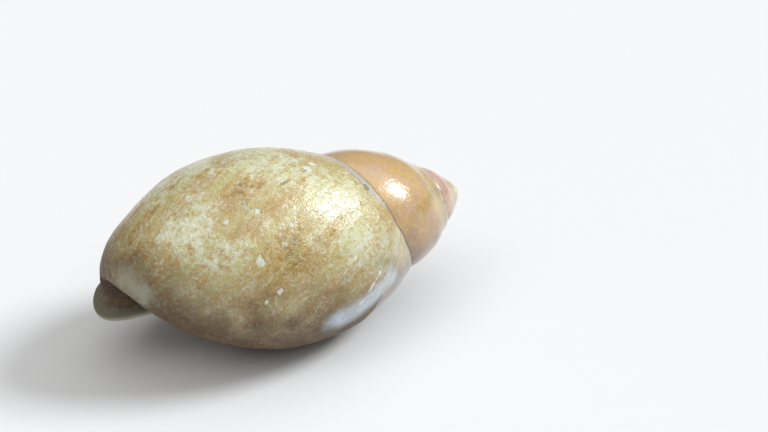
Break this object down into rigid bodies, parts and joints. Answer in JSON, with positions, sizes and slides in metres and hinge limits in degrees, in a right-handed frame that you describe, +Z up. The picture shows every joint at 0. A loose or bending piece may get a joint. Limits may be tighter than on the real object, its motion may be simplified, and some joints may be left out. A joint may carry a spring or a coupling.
{
  "type": "land snail shell",
  "caption": "Large empty land snail shell that coils to the right, with a swollen last whorl, a flared lip and a blunt spire, lying on its mouth.",
  "frame": {"origin": "on the ground under the middle of the shell's box, as it lies on its mouth", "axes": "+X towards the apex, +Z up, +Y towards the side where the outer lip meets the ground"},
  "size_m": [0.1352, 0.0744, 0.0697],
  "materials": {
    "shell": "satin"
  },
  "bodies": {
    "root": {"shell": "shell"}
  },
  "joints": []
}
